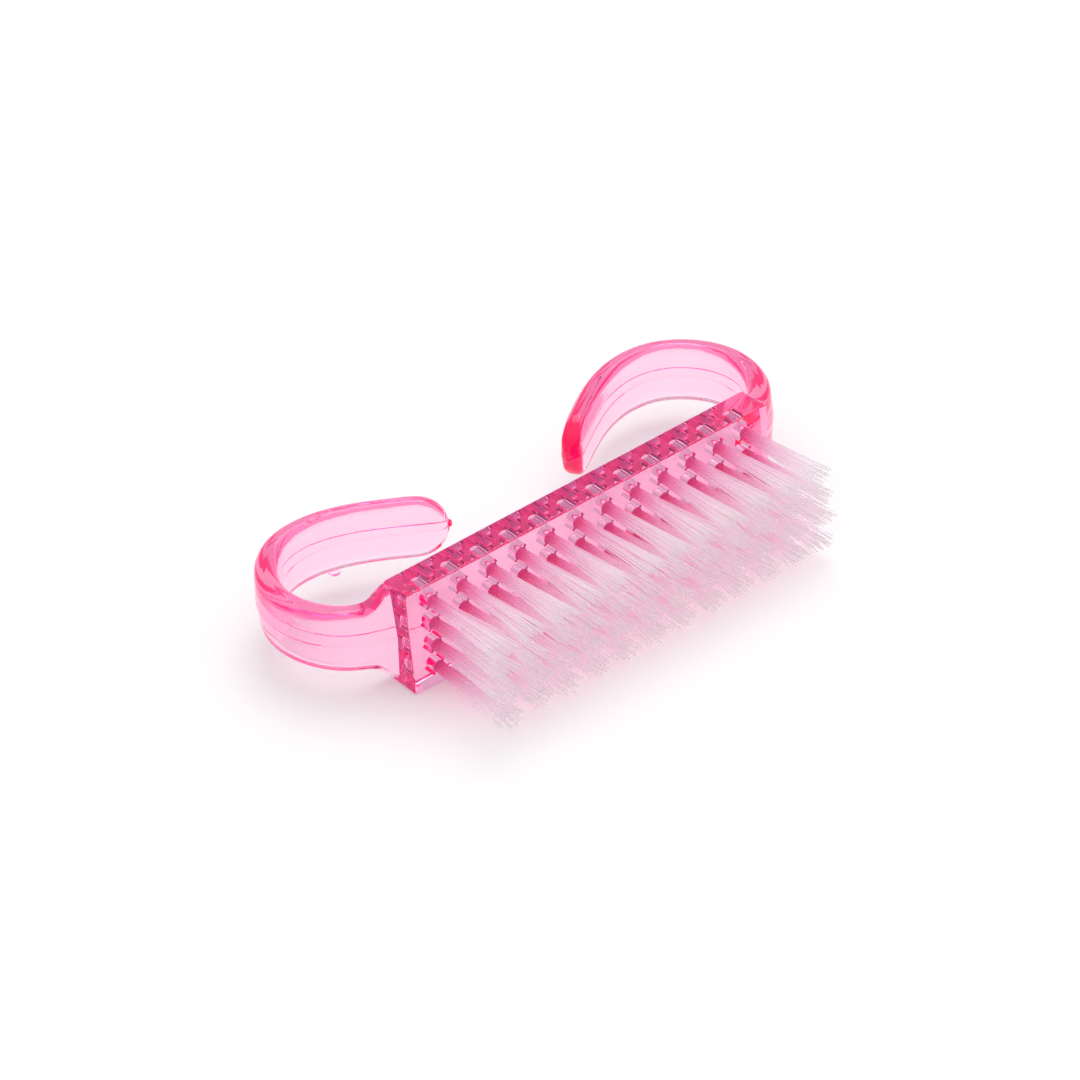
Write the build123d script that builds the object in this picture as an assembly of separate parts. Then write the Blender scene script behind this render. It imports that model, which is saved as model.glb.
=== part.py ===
from build123d import *
from math import exp, radians, sin, sqrt, tan
import os

# Acrylic nail brush: one clear moulding with two hooked handles, 48 nylon tufts and their steel anchors.
# The brush lies on one long side, as it does on a table. +X runs along the block, the tufts point to -Y,
# the handles curl back on the +Y side, and +Z is the width of the block. Sizes are in millimetres.

# ---- block -------------------------------------------------------------------------------------------
block_length = 58.0
block_thickness = 4.8
block_width = 15.0
block_corner_radius = 0.5  # the four corners seen from the bristle side
block_front_rounding = 0.3
block_back_rounding = 0.6

# ---- handles -----------------------------------------------------------------------------------------
# Centre line of one handle, as (distance inwards from the end of the block, distance behind the front
# face). It leaves the back half of the end face, curls round and comes back behind the block.
handle_line = [
    (3.2, 3.0),
    (-0.6, 4.75),
    (-4.1, 6.5),
    (-7.2, 10.9),
    (-7.8, 16.5),
    (-5.5, 21.5),
    (-1.0, 24.7),
    (4.6, 24.9),
    (9.9, 22.9),
    (19.2, 16.8),
]
handle_thickness_root = 3.8
handle_thickness_tip = 2.9
handle_height_root = 8.9
handle_height_tip = 8.6
handle_draft = 4.5  # degrees, each side face leans in from the parting line at mid height
handle_edge_rounding = 1.5
most_rounding_of_thickness = 0.85  # the edge rounding never takes more of the half thickness than this
most_rounding_of_height = 0.45
root_flare = 5.2  # extra height where the handle grows out of the block
root_flare_middle = 4.5  # length of centre line after which half the flare is left
root_flare_fade = 0.6  # how gently the flare dies away
tip_length = 4.3  # length of the rounded end, seen from the bristle side
tip_roundover = 1.5  # length of the rounded end, seen from the long side
tip_end_height = 0.18  # the last section, as a share of the full height
tip_end_thickness = 0.36
nib_length = 0.75  # the small point that the moulding seam leaves at the very end
nib_root_radius = 0.8
nib_end_radius = 0.35
nib_rounding = 0.25
nib_sunk = 0.4  # how much of the nib is inside the handle

# ---- where the handle's cross-sections are taken ------------------------------------------------------
flare_sections = 12
flare_section_step = 0.75
arm_sections = 13
tip_section_angles = [15, 30, 43, 55, 65, 74, 80]  # degrees round the rounded end

# ---- what is left of the moulding gate ----------------------------------------------------------------
gate_position = 0.715  # along the left handle's centre line
gate_radius = 0.8
gate_height = 1.1  # below the handle's lower edge
gate_sunk = 1.0  # how much of the gate is inside the handle
gate_rounding = 0.5

# ---- tufts and the holes they sit in -------------------------------------------------------------------
tuft_columns = 12
tuft_rows = 4
column_pitch = 4.57
row_pitch = 3.31
hole_radius = 0.88
hole_depth = 3.6
tuft_clearance = 0.07
bristle_length = 14.7
tuft_tip_half_length = 1.75  # along the block
tuft_tip_half_width = 1.2

# ---- flat wire anchors ----------------------------------------------------------------------------------
anchor_length = 2.5
anchor_wire_thickness = 0.28
anchor_wire_width = 1.6
anchor_depth = 3.1  # of its far edge, behind the front face
anchor_angle = 45.0
anchor_clearance = 0.02
tuft_anchor_clearance = 0.03
cut_margin = 1.0  # how far a cut runs out past the front face


def tuft_centre(row, column):
    """Middle of one tuft hole on the front face. Row 1 is the upper one, column 1 is at the -X end."""
    x = (column - (tuft_columns + 1) / 2) * column_pitch
    z = block_width / 2 - (row - (tuft_rows + 1) / 2) * row_pitch
    return x, z


def rounded_block():
    """The plain block that carries the tufts."""
    block = Pos(0, block_thickness / 2, block_width / 2) * Box(block_length, block_thickness, block_width)
    block = fillet(block.edges().filter_by(Axis.Y), block_corner_radius)
    front = block.faces().sort_by(Axis.Y)[0]
    block = fillet(front.edges(), block_front_rounding)
    back = block.faces().sort_by(Axis.Y)[-1]
    return fillet(back.edges(), block_back_rounding)


def handle_section(plane, thickness, height):
    """Cross-section of a handle: two drafted side faces that meet at the parting line, rounded corners."""
    middle = thickness / 2
    half_height = height / 2
    edge = middle - half_height * tan(radians(handle_draft))
    rounding = min(handle_edge_rounding, most_rounding_of_thickness * edge, most_rounding_of_height * height)
    outline = Polyline(
        (middle, 0),
        (edge, half_height),
        (-edge, half_height),
        (-middle, 0),
        (-edge, -half_height),
        (edge, -half_height),
        close=True,
    )
    face = make_face(outline)
    corners = [v for v in face.vertices() if abs(v.Y) > half_height / 2]
    return plane * fillet(corners, rounding)


def section_stations(length):
    """Lengths of centre line at which the handle is cut into sections, closest where it changes most."""
    flare = [flare_section_step * step for step in range(flare_sections)]
    cap_start = length - tip_length
    spacing = (cap_start - flare[-1]) / arm_sections
    arm = [flare[-1] + spacing * step for step in range(1, arm_sections + 1)]
    cap = [cap_start + tip_length * sin(radians(angle)) for angle in tip_section_angles]
    return flare + arm + cap


def section_size(station, length):
    """Thickness and height of the handle at one station: tapered, flared at its root, rounded at its tip."""
    share = station / length
    thickness = handle_thickness_root + (handle_thickness_tip - handle_thickness_root) * share
    height = handle_height_root + (handle_height_tip - handle_height_root) * share
    height += root_flare / (1 + exp((station - root_flare_middle) / root_flare_fade))
    left = length - station
    if left < tip_length:
        height *= max(tip_end_height, sqrt(1 - (1 - left / tip_length) ** 2))
    if left < tip_roundover:
        thickness *= max(tip_end_thickness, sqrt(1 - (1 - left / tip_roundover) ** 2))
    return thickness, height


def nib(line):
    """The small pointed end of the moulding seam at the tip of a handle."""
    end = Plane(origin=line.position_at(1), z_dir=line.tangent_at(1))
    point = end * Pos(0, 0, nib_length / 2 - nib_sunk) * Cone(nib_root_radius, nib_end_radius, nib_length)
    very_end = point.edges().filter_by(GeomType.CIRCLE).sort_by(SortBy.RADIUS)[0]
    return fillet(very_end, nib_rounding)


def handle():
    """The handle at the -X end, as a loft of sections along its centre line, and that line."""
    points = [(x - block_length / 2, y, block_width / 2) for x, y in handle_line]
    line = Spline(*points)
    sections = []
    for station in section_stations(line.length):
        share = station / line.length
        tangent = line.tangent_at(share)
        outward = tangent.cross(Vector(0, 0, 1))
        plane = Plane(origin=line.position_at(share), x_dir=outward, z_dir=tangent)
        sections.append(handle_section(plane, *section_size(station, line.length)))
    return loft(sections) + nib(line), line


def gate_nub(line):
    """The broken-off gate on the lower edge of the left handle."""
    spot = line.position_at(gate_position)
    underside = block_width / 2 - handle_height_tip / 2
    middle = underside + (gate_sunk - gate_height) / 2
    stem = Pos(spot.X, spot.Y, middle) * Cylinder(gate_radius, gate_height + gate_sunk)
    return fillet(stem.edges().sort_by(Axis.Z)[0], gate_rounding)


def along_y(x, z, depth, radius):
    """A round-bottomed pin from the front face into the block."""
    shank = Pos(x, (depth - radius) / 2, z) * Rot(90, 0, 0) * Cylinder(radius, depth - radius)
    return shank + Pos(x, depth - radius, z) * Sphere(radius)


def wire_box(x, z, near, far, extra):
    """A flat wire across one hole, between two depths, grown by extra on its sides."""
    shape = Box(anchor_length + 2 * extra, far - near, anchor_wire_thickness + 2 * extra)
    return Pos(x, (near + far) / 2, z) * Rot(0, -anchor_angle, 0) * shape


def tuft(x, z):
    """A tuft as one closed solid: folded end in the hole, flared ends outside, a slot for its anchor."""
    root_radius = hole_radius - tuft_clearance
    folded = along_y(x, z, hole_depth - tuft_clearance, root_radius)
    front = Plane(origin=(x, 0, z), x_dir=(1, 0, 0), z_dir=(0, -1, 0))
    tip = front.offset(bristle_length)
    flared = loft([front * Circle(root_radius), tip * Ellipse(tuft_tip_half_length, tuft_tip_half_width)])
    near = anchor_depth - anchor_wire_width - tuft_anchor_clearance
    far = anchor_depth + tuft_anchor_clearance
    return folded + flared - wire_box(x, z, near, far, tuft_anchor_clearance)


def anchor(x, z):
    """One flat wire anchor."""
    return wire_box(x, z, anchor_depth - anchor_wire_width, anchor_depth, 0)


def brush_body():
    """Block and both handles in one moulding, drilled for the tufts and cut by their anchors."""
    left, line = handle()
    right = mirror(left, about=Plane.YZ)
    body = rounded_block() + left + right + gate_nub(line)
    holes = []
    for row in range(1, tuft_rows + 1):
        for column in range(1, tuft_columns + 1):
            x, z = tuft_centre(row, column)
            holes.append(along_y(x, z, hole_depth, hole_radius))
            holes.append(wire_box(x, z, -cut_margin, anchor_depth + anchor_clearance, anchor_clearance))
    return body - holes


def main():
    body = brush_body()
    nodes = {"brush_body": body}
    for row in range(1, tuft_rows + 1):
        centres = [tuft_centre(row, column) for column in range(1, tuft_columns + 1)]
        for column, (x, z) in enumerate(centres, 1):
            nodes[f"tuft_r{row}_c{column:02d}"] = tuft(x, z)
        nodes[f"anchor_row_{row}"] = Compound([anchor(x, z) for x, z in centres])
    back = body.bounding_box().max.Y
    to_origin = Pos(0, (bristle_length - back) / 2, 0)
    os.makedirs("parts", exist_ok=True)
    for name, shape in nodes.items():
        export_step(to_origin * shape, f"parts/{name}.step")


main()
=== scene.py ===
"""Looks of the acrylic nail brush: clear pink moulding, folded nylon filaments, steel anchors, white light.

Lengths are in metres, most of them written as multiples of MM. The brush lies on one long side: +X runs
along the block, the tufts point to -Y, the handles curl back on the +Y side, and +Z is up.
"""

import math
import random

import bmesh
import bpy
from mathutils import Matrix, Vector


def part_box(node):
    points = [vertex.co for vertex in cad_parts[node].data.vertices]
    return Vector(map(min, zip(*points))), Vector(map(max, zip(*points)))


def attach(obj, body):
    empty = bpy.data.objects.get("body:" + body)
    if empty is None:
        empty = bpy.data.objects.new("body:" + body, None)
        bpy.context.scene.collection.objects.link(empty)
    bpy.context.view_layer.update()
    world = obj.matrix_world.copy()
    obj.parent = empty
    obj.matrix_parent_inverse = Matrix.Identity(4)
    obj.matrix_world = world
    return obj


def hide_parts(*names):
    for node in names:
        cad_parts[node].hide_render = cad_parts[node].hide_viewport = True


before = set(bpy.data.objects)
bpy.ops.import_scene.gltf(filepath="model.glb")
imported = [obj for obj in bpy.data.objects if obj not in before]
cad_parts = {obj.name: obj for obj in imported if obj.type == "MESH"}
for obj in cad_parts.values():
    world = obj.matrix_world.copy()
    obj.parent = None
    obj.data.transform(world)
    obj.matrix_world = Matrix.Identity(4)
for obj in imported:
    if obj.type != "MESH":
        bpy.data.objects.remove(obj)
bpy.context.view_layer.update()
MM = 0.001
WHITE = (1, 1, 1, 1)


# ---- node helpers -------------------------------------------------------------------------------------
def new_material(name):
    """A new node material, with its node tree and its Principled shader."""
    material = bpy.data.materials.new(name)
    material.use_nodes = True
    tree = material.node_tree
    shader = next(n for n in tree.nodes if n.type == "BSDF_PRINCIPLED")
    return material, tree, shader


def set_inputs(made, **values):
    """Sets some inputs of a node. An underscore stands for a space in an input's name."""
    for name, value in values.items():
        made.inputs[name.replace("_", " ")].default_value = value


def math_node(tree, operation, first, second=None):
    """The result of one operation on one or two values, each a number or the output of another node."""
    made = tree.nodes.new("ShaderNodeMath")
    made.operation = operation
    for socket, value in zip(made.inputs, (first, second)):
        if isinstance(value, (int, float)):
            socket.default_value = value
        elif value is not None:
            tree.links.new(value, socket)
    return made.outputs["Value"]


def object_place(tree):
    """The point on the surface, in the object's own coordinates."""
    return tree.nodes.new("ShaderNodeTexCoord").outputs["Object"]


def split_axes(tree, vector):
    """The three coordinates of a vector."""
    parts = tree.nodes.new("ShaderNodeSeparateXYZ")
    tree.links.new(vector, parts.inputs["Vector"])
    return parts.outputs


def noise(tree, vector, scale, detail):
    """Soft noise between 0 and 1."""
    made = tree.nodes.new("ShaderNodeTexNoise")
    set_inputs(made, Scale=scale, Detail=detail)
    tree.links.new(vector, made.inputs["Vector"])
    return made.outputs["Fac"]


def bump(tree, height, distance, strength, under=None):
    """A normal bent by a height, on top of the normal under it if there is one."""
    made = tree.nodes.new("ShaderNodeBump")
    set_inputs(made, Strength=strength, Distance=distance)
    tree.links.new(height, made.inputs["Height"])
    if under is not None:
        tree.links.new(under, made.inputs["Normal"])
    return made.outputs["Normal"]


def colour_ramp(tree, factor, stops):
    """A colour that runs through stops, each a position from 0 to 1 and a colour."""
    ramp = tree.nodes.new("ShaderNodeValToRGB")
    while len(ramp.color_ramp.elements) < len(stops):
        ramp.color_ramp.elements.new(0.5)
    for element, (position, colour) in zip(ramp.color_ramp.elements, stops):
        element.position = position
        element.color = (*colour, 1)
    tree.links.new(factor, ramp.inputs["Fac"])
    return ramp.outputs["Color"]


def grey(level):
    """A neutral colour."""
    return (level, level, level)


# ---- clear plastic ------------------------------------------------------------------------------------
SEAM_HEIGHT = 7.5 * MM  # above the table, at half the width of the block
SEAM_HALF_WIDTH = 0.14 * MM
SEAM_RISE = 0.12 * MM
BLOCK_END = 29.05 * MM  # X just past the end of the block, where the seam starts on the outer side
BLOCK_BACK = -1.1 * MM  # Y just behind the block, where the seam starts on the inner side
FLOW_SCALE = 160.0
FLOW_DETAIL = 2.5
FLOW_FLATTEN = (1.0, 1.0, 4.0)  # flow lines run level, along the handles
FLOW_RISE = 0.1 * MM
FLOW_STRENGTH = 0.5
ROUGHEST = 0.03


def seam_height(tree, place):
    """Height of the moulding seam: a fine ridge at mid width that runs round the handles, not the block."""
    axes = split_axes(tree, place)
    from_seam = math_node(tree, "ABSOLUTE", math_node(tree, "SUBTRACT", axes["Z"], SEAM_HEIGHT))
    slope = math_node(tree, "SUBTRACT", 1.0, math_node(tree, "DIVIDE", from_seam, SEAM_HALF_WIDTH))
    ridge = math_node(tree, "MAXIMUM", slope, 0.0)
    from_middle = math_node(tree, "ABSOLUTE", axes["X"])
    beyond_end = math_node(tree, "GREATER_THAN", from_middle, BLOCK_END)
    behind_block = math_node(tree, "GREATER_THAN", axes["Y"], BLOCK_BACK)
    on_handle = math_node(tree, "MAXIMUM", beyond_end, behind_block)
    return math_node(tree, "MULTIPLY", ridge, on_handle)


def clear_pink_acrylic():
    """Glass-clear plastic. Most of its colour comes from the length of the way light takes inside it."""
    material, tree, shader = new_material("clear_pink_acrylic")
    set_inputs(shader, Base_Color=WHITE, Transmission_Weight=1.0, IOR=1.49)
    # A faint glow makes up for light that dies out in the thick parts.
    set_inputs(shader, Emission_Color=(0.9, 0.0, 0.72, 1), Emission_Strength=0.045)
    place = object_place(tree)
    stretch = tree.nodes.new("ShaderNodeMapping")
    set_inputs(stretch, Scale=FLOW_FLATTEN)
    tree.links.new(place, stretch.inputs["Vector"])
    flow = noise(tree, stretch.outputs["Vector"], FLOW_SCALE, FLOW_DETAIL)
    waves = bump(tree, flow, FLOW_RISE, FLOW_STRENGTH)
    seam = bump(tree, seam_height(tree, place), SEAM_RISE, 1.0, under=waves)
    tree.links.new(seam, shader.inputs["Normal"])
    polish = tree.nodes.new("ShaderNodeMapRange")
    set_inputs(polish, To_Min=0.0, To_Max=ROUGHEST)
    tree.links.new(flow, polish.inputs["Value"])
    tree.links.new(polish.outputs["Result"], shader.inputs["Roughness"])
    dye = tree.nodes.new("ShaderNodeVolumeAbsorption")
    set_inputs(dye, Color=(0.98, 0.10, 0.46, 1), Density=125.0)
    output = next(n for n in tree.nodes if n.type == "OUTPUT_MATERIAL")
    tree.links.new(dye.outputs["Volume"], output.inputs["Volume"])
    return material


# ---- nylon, steel and table ---------------------------------------------------------------------------
BLOCK_GLOW_START = 2.0 * MM  # behind the front face of the block
BLOCK_GLOW_END = 15.0 * MM  # in front of it
# Painted light: the strong pink near the front face stands for light that the pink block pipes into the
# filaments; the paler pink-white towards the tip is the filament's own colour.
NYLON_TONES_AND_BLOCK_GLOW = (
    (0.0, (0.995, 0.80, 0.90)),
    (0.13, (0.995, 0.16, 0.48)),
    (0.25, (0.995, 0.42, 0.70)),
    (0.42, (0.995, 0.74, 0.88)),
    (0.7, (0.995, 0.88, 0.94)),
    (1.0, (0.995, 0.94, 0.965)),
)


def nylon(front_y):
    """Semi-clear filament: pale pink-white to its tip, with painted pink light from the block near the
    mouth of its hole, and a faint painted glow in the same colours.
    """
    material, tree, shader = new_material("nylon_bristle")
    # The emission is a faint painted glow that brightens the tufts, coloured by the same ramp as the
    # filaments.
    set_inputs(shader, Transmission_Weight=0.0, IOR=1.4, Roughness=0.3, Alpha=0.33, Emission_Strength=0.055)
    along = tree.nodes.new("ShaderNodeMapRange")
    set_inputs(along, From_Min=front_y + BLOCK_GLOW_START, From_Max=front_y - BLOCK_GLOW_END)
    tree.links.new(split_axes(tree, object_place(tree))["Y"], along.inputs["Value"])
    # The ramp carries the painted pink light from the block and the filament's own pale colour.
    tone_and_block_glow = colour_ramp(tree, along.outputs["Result"], NYLON_TONES_AND_BLOCK_GLOW)
    tree.links.new(tone_and_block_glow, shader.inputs["Base Color"])
    tree.links.new(tone_and_block_glow, shader.inputs["Emission Color"])
    return material


def anchor_steel():
    """Flat drawn steel wire."""
    material, tree, shader = new_material("anchor_steel")
    set_inputs(shader, Metallic=1.0, Roughness=0.35)
    grain = noise(tree, object_place(tree), 1500.0, 3.0)
    tone = colour_ramp(tree, grain, ((0.0, (0.10, 0.08, 0.08)), (1.0, (0.45, 0.40, 0.40))))
    tree.links.new(tone, shader.inputs["Base Color"])
    return material


def white_table():
    """A plain white table top, faintly mottled, with a little light of its own."""
    material, tree, shader = new_material("white_table")
    set_inputs(shader, Roughness=0.9, Emission_Color=WHITE, Emission_Strength=0.17)
    grain = noise(tree, object_place(tree), 30.0, 3.0)
    tone = colour_ramp(tree, grain, ((0.0, grey(0.93)), (1.0, grey(0.95))))
    tree.links.new(tone, shader.inputs["Base Color"])
    return material


# ---- tufts --------------------------------------------------------------------------------------------
RANDOM_SEED = 11
FILAMENT_RADIUS = 0.098 * MM
FILAMENT_SIDES = 6
FILAMENT_SPACING = 0.215 * MM
PACKING_RADIUS = 0.76 * MM  # of the bundle, to the middle of its outermost filaments
ANCHOR_HALF_THICKNESS = 0.14 * MM
ANCHOR_ANGLE = math.radians(45)
ANCHOR_STANDOFF = 1.1  # filament radii between an anchor's face and the middle of the nearest filament
FOLD_SQUEEZE = 0.6  # what is left of the bundle's width along the anchor, at its fold
FOLD_REACH = 0.55 * MM  # the most that the U-turn of a filament takes along its hole
FOLD_END_GAP = 0.14 * MM  # between the deepest fold and the inner end of the CAD tuft
FOLD_STEPPING = 0.25  # how much less deep a fold is, for each unit of length that it is off the middle
FOLD_DEGREES = (90, 55, 25, 0, -25, -55, -90)
FREE_SHARES = (1.0, 0.8, 0.6, 0.4, 0.22, 0.08, 0.0)  # of the free length, from the tip to the front face
FLARE_POWER = 1.15  # over 1, a filament bends away more towards its tip
TIP_HALF_LENGTH = 1.85 * MM  # of the flared bundle, along the block
TIP_HALF_WIDTH = 1.2 * MM
TIP_JITTER = 0.13 * MM
TRIM_JITTER = 0.4 * MM
STRAY_SHARE = 0.03  # of the filaments, bent further out of their bundle
STRAY_SPREAD = 3.0
LEAN_SPREAD = 0.22 * MM  # of whole tufts, along the block, at their tips
LIFT = 0.35 * MM  # of whole tufts, at their tips
LIFT_SPREAD = 0.15 * MM


def bundle_places():
    """Where filaments pass one side of the anchor, as (along it, away from it), hexagonally packed."""
    row_step = FILAMENT_SPACING * math.sqrt(3) / 2
    nearest = ANCHOR_HALF_THICKNESS + FILAMENT_RADIUS * ANCHOR_STANDOFF
    rows = int((PACKING_RADIUS - nearest) / row_step) + 1
    half_count = int(PACKING_RADIUS / FILAMENT_SPACING) + 1
    places = []
    for row in range(rows):
        away = nearest + row * row_step
        for step in range(-half_count, half_count + 1):
            along = (step + 0.5 * (row % 2)) * FILAMENT_SPACING
            if math.hypot(along, away) <= PACKING_RADIUS:
                places.append((along, away))
    return places


def turned(along, away):
    """A place beside the anchor, as offsets in X and Z from the middle of the hole."""
    cos_a, sin_a = math.cos(ANCHOR_ANGLE), math.sin(ANCHOR_ANGLE)
    return along * cos_a - away * sin_a, along * sin_a + away * cos_a


def filament_end(along, away, centre, front_y, tip_y, chance):
    """Points from the trimmed tip of a filament to the front face, where it enters its hole."""
    x, z = turned(along, away)
    jitter = TIP_JITTER * (STRAY_SPREAD if chance.random() < STRAY_SHARE else 1)
    reach_x = x / PACKING_RADIUS * TIP_HALF_LENGTH + chance.gauss(0, jitter)
    reach_z = z / PACKING_RADIUS * TIP_HALF_WIDTH + chance.gauss(0, jitter)
    end_y = tip_y + abs(chance.gauss(0, TRIM_JITTER))
    points = []
    for share in FREE_SHARES:
        flare = share**FLARE_POWER
        point_x = centre[0] + x + (reach_x - x) * flare
        point_y = front_y + (end_y - front_y) * share
        point_z = centre[1] + z + (reach_z - z) * flare
        points.append(Vector((point_x, point_y, point_z)))
    return points


def fold_points(along, away, centre, fold_y):
    """The U-turn of a filament round the far edge of its anchor, from one side to the other."""
    reach = min(away, FOLD_REACH)
    points = []
    for degrees in FOLD_DEGREES:
        turn = math.radians(degrees)
        squeeze = 1 - (1 - FOLD_SQUEEZE) * math.cos(turn)
        x, z = turned(along * squeeze, away * math.sin(turn))
        points.append(Vector((centre[0] + x, fold_y - reach + reach * math.cos(turn), centre[1] + z)))
    return points


def lean_over(points, front_y, lean):
    """Moves the points of one filament end sideways, most at its tip, not at all at the front face."""
    length = front_y - points[0].y
    for point in points:
        share = max(0.0, (front_y - point.y) / length)
        point.x += lean[0] * share
        point.z += lean[1] * share


def add_tube(mesh, points):
    """A closed tube along points, in a bmesh."""
    rings = []
    side = None
    for index, point in enumerate(points):
        before = points[max(index - 1, 0)]
        after = points[min(index + 1, len(points) - 1)]
        direction = (after - before).normalized()
        if side is None:
            side = direction.orthogonal().normalized()
        side = (side - direction * side.dot(direction)).normalized()
        other = direction.cross(side)
        ring = []
        for step in range(FILAMENT_SIDES):
            angle = 2 * math.pi * step / FILAMENT_SIDES
            offset = side * math.cos(angle) + other * math.sin(angle)
            ring.append(mesh.verts.new(point + offset * FILAMENT_RADIUS))
        rings.append(ring)
    for near, far in zip(rings, rings[1:]):
        for step in range(FILAMENT_SIDES):
            following = (step + 1) % FILAMENT_SIDES
            face = mesh.faces.new((near[step], near[following], far[following], far[step]))
            face.smooth = True
    mesh.faces.new(list(reversed(rings[0])))
    mesh.faces.new(rings[-1])


def new_piece(name, mesh, material):
    """A new object in the scene from a bmesh, which is freed."""
    data = bpy.data.meshes.new(name)
    mesh.to_mesh(data)
    mesh.free()
    data.materials.append(material)
    piece = bpy.data.objects.new(name, data)
    bpy.context.scene.collection.objects.link(piece)
    return piece


def filament_tuft(tuft_name, front_y, material, chance):
    """A bundle of folded filaments in place of one CAD tuft."""
    low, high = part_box(tuft_name)
    centre = ((low.x + high.x) / 2, (low.z + high.z) / 2)
    lean = chance.gauss(0, LEAN_SPREAD), chance.gauss(LIFT, LIFT_SPREAD)
    mesh = bmesh.new()
    for along, away in bundle_places():
        fold_y = high.y - FOLD_END_GAP - FOLD_STEPPING * abs(along)
        one = filament_end(along, away, centre, front_y, low.y, chance)
        two = filament_end(along, -away, centre, front_y, low.y, chance)
        lean_over(one, front_y, lean)
        lean_over(two, front_y, lean)
        add_tube(mesh, one + fold_points(along, away, centre, fold_y) + list(reversed(two)))
    piece = new_piece(tuft_name + "_filaments", mesh, material)
    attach(piece, "root")
    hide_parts(tuft_name)


# ---- table, light and camera ----------------------------------------------------------------------------
TABLE_HALF_SIZE = 6.0
TABLE_DROP = 0.02 * MM  # below the lowest point of the brush
KEY_PLACE = (0.28, 0.22, 0.62)  # behind the brush, on the right, high up
KEY_SIZE = (0.42, 0.42)
KEY_POWER = 1.0
TENT_GREYS = ((0.0, 0.62), (0.3, 0.58), (0.6, 0.62), (0.85, 0.95), (1.0, 1.0))
CAMERA_PLACE = Vector((-0.23137, -0.30600, 0.28416))
CAMERA_AZIMUTH = math.radians(-36.63)
CAMERA_ELEVATION = math.radians(35.97)
CAMERA_ROLL = math.radians(-4.64)
CAMERA_LENS = 126.26  # millimetres, on a 36 mm sensor
MOST_BOUNCES = 400  # of light trapped in the clear plastic
MOST_LAYERS = 256  # of half-clear filaments in a row
MOST_DIFFUSE_BOUNCES = 48


def table_top():
    """A wide white table top under the brush."""
    mesh = bmesh.new()
    bmesh.ops.create_grid(mesh, x_segments=8, y_segments=8, size=TABLE_HALF_SIZE)
    table = new_piece("table_top", mesh, white_table())
    table.location.z = -TABLE_DROP


def world_light():
    """A light tent: a bright soft ceiling, dimmer walls."""
    world = bpy.data.worlds.new("light_tent")
    bpy.context.scene.world = world
    world.use_nodes = True
    tree = world.node_tree
    background = next(n for n in tree.nodes if n.type == "BACKGROUND")
    direction = tree.nodes.new("ShaderNodeTexCoord").outputs["Generated"]
    stops = [(height, grey(level)) for height, level in TENT_GREYS]
    tent = colour_ramp(tree, split_axes(tree, direction)["Z"], stops)
    tree.links.new(tent, background.inputs["Color"])
    set_inputs(background, Strength=1.0)


def area_lamp(name, place, size, power):
    """A soft rectangular lamp, aimed at the middle of the brush's footprint."""
    data = bpy.data.lights.new(name, "AREA")
    data.shape = "RECTANGLE"
    data.size, data.size_y = size
    data.energy = power
    lamp = bpy.data.objects.new(name, data)
    lamp.location = place
    lamp.rotation_euler = (-Vector(place)).to_track_quat("-Z", "Y").to_euler()
    bpy.context.scene.collection.objects.link(lamp)


def camera():
    """A long lens from the near left and above, tilted a little."""
    data = bpy.data.cameras.new("camera")
    data.lens = CAMERA_LENS
    data.sensor_width = 36
    eye = bpy.data.objects.new("camera", data)
    back_x = math.sin(CAMERA_AZIMUTH) * math.cos(CAMERA_ELEVATION)
    back_y = -math.cos(CAMERA_AZIMUTH) * math.cos(CAMERA_ELEVATION)
    back = Vector((back_x, back_y, math.sin(CAMERA_ELEVATION)))
    right = Vector((math.cos(CAMERA_AZIMUTH), math.sin(CAMERA_AZIMUTH), 0))
    up = back.cross(right)
    tilted_right = right * math.cos(CAMERA_ROLL) + up * math.sin(CAMERA_ROLL)
    tilted_up = up * math.cos(CAMERA_ROLL) - right * math.sin(CAMERA_ROLL)
    turn = Matrix((tilted_right, tilted_up, back)).transposed()
    eye.matrix_world = Matrix.Translation(CAMERA_PLACE) @ turn.to_4x4()
    bpy.context.scene.collection.objects.link(eye)
    bpy.context.scene.camera = eye


def light_paths():
    """Lets light go far enough inside the clear plastic and through the tufts."""
    scene = bpy.context.scene
    scene.view_settings.view_transform = "Standard"
    scene.cycles.max_bounces = MOST_BOUNCES
    scene.cycles.transmission_bounces = MOST_BOUNCES
    scene.cycles.glossy_bounces = MOST_BOUNCES
    scene.cycles.transparent_max_bounces = MOST_LAYERS
    scene.cycles.diffuse_bounces = MOST_DIFFUSE_BOUNCES


# ---- the whole brush ------------------------------------------------------------------------------------
def paint(name, material):
    """Gives a CAD node its look."""
    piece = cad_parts[name]
    piece.data.materials.clear()
    piece.data.materials.append(material)


def main():
    front_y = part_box("brush_body")[0].y
    bristle, steel = nylon(front_y), anchor_steel()
    chance = random.Random(RANDOM_SEED)
    paint("brush_body", clear_pink_acrylic())
    for name in sorted(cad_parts):
        if name.startswith("anchor_row"):
            paint(name, steel)
        elif name.startswith("tuft_"):
            filament_tuft(name, front_y, bristle, chance)
    table_top()
    world_light()
    area_lamp("key_light", KEY_PLACE, KEY_SIZE, KEY_POWER)
    camera()
    light_paths()


main()
